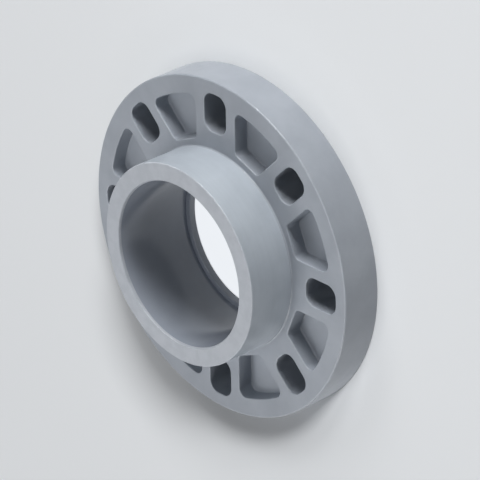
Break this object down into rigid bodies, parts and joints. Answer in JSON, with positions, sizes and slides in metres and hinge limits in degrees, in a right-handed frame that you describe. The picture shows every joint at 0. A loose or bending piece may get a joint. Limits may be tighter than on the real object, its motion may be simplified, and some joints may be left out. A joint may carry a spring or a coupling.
{
  "type": "flange adaptor",
  "caption": "Grey plastic full-face flange adaptor with a pipe socket in a plain collar, slotted bolt holes and blind pockets between ribs.",
  "frame": {"origin": "centre of the bore in the plane of the mating face, which is the bottom of the part", "axes": "+Z along the bore, out of the collar's mouth; +X through the middle of a pocket, half way between two bolt slots"},
  "size_m": [0.229, 0.229, 0.062],
  "materials": {
    "grey_plastic": "satin moulded skin, blue-grey"
  },
  "bodies": {
    "root": {"flange_adaptor_body": "grey_plastic"}
  },
  "joints": []
}
